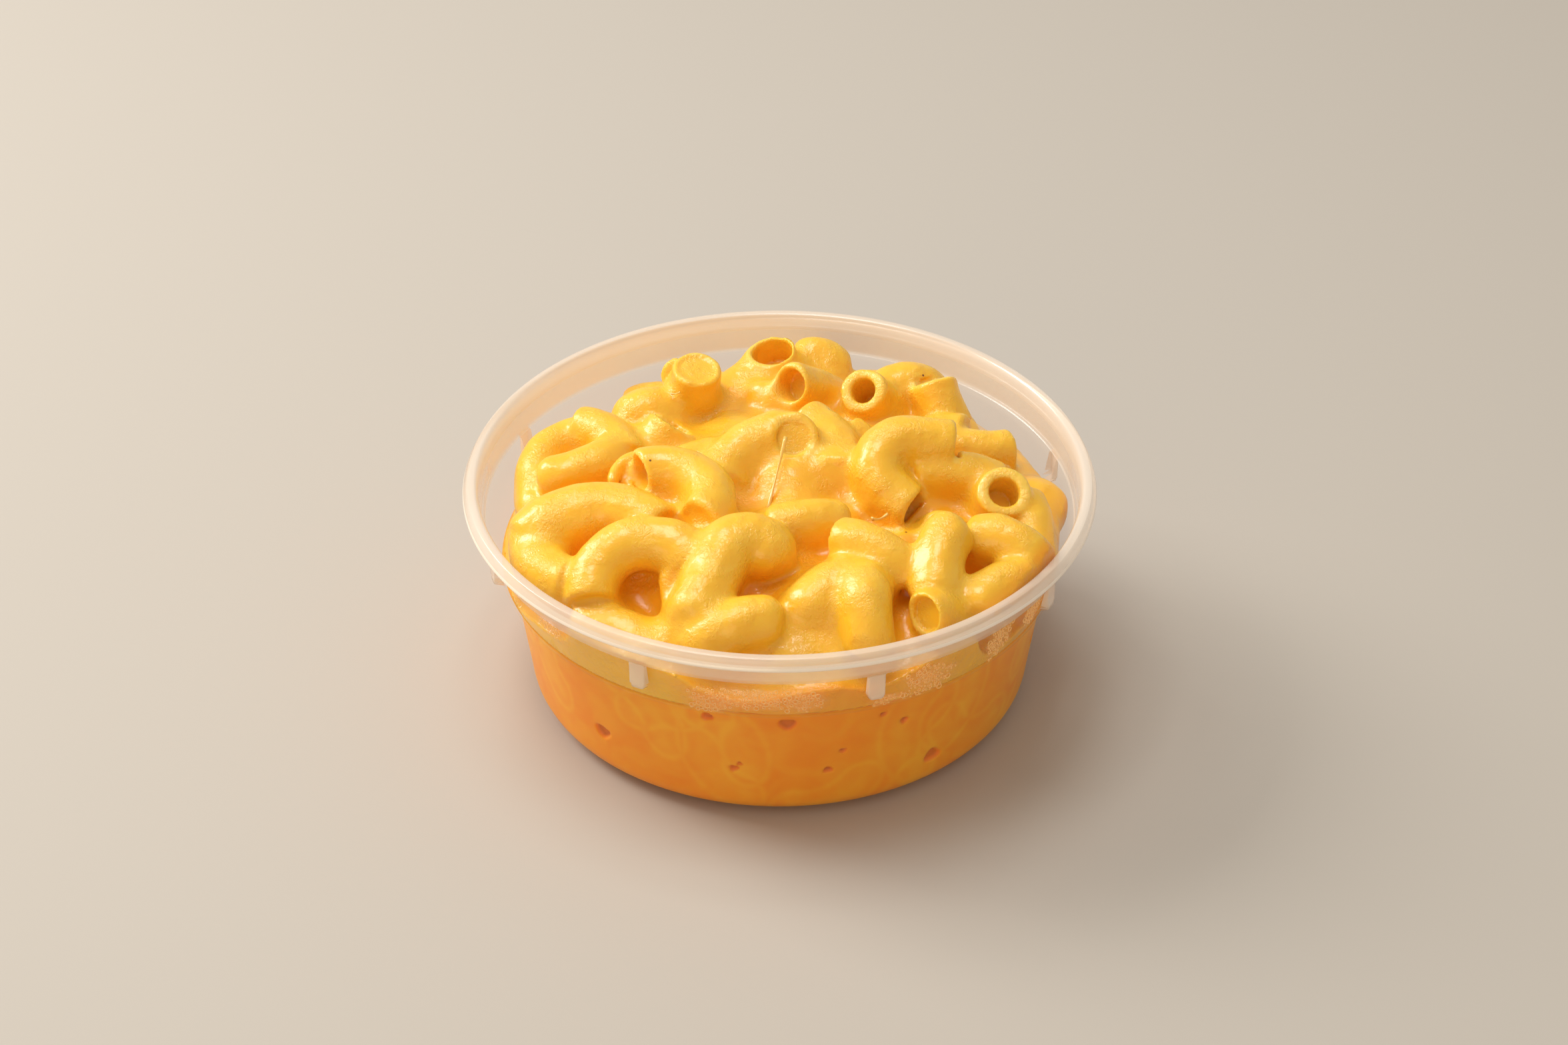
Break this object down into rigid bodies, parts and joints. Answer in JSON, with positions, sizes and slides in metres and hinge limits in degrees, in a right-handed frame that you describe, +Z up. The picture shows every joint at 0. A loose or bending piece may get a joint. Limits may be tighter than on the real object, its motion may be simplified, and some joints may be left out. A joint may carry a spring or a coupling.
{
  "type": "macaroni and cheese in a deli container",
  "caption": "Heap of elbow macaroni coated in cheese sauce, filling a round translucent deli container with a rolled rim and stacking lugs.",
  "frame": {"origin": "centre of the container's foot, on the surface it stands on", "axes": "+Z up along the container's axis, -Y towards the front of the heap, +X to its right"},
  "size_m": [0.117, 0.117, 0.0557],
  "materials": {
    "translucent_plastic": "translucent, satin to glossy natural polypropylene",
    "cheese_macaroni": "wet, glossy and slightly translucent cheese sauce over pasta"
  },
  "bodies": {
    "root": {"deli_container": "translucent_plastic", "macaroni_in_cheese_sauce": "cheese_macaroni"}
  },
  "joints": []
}
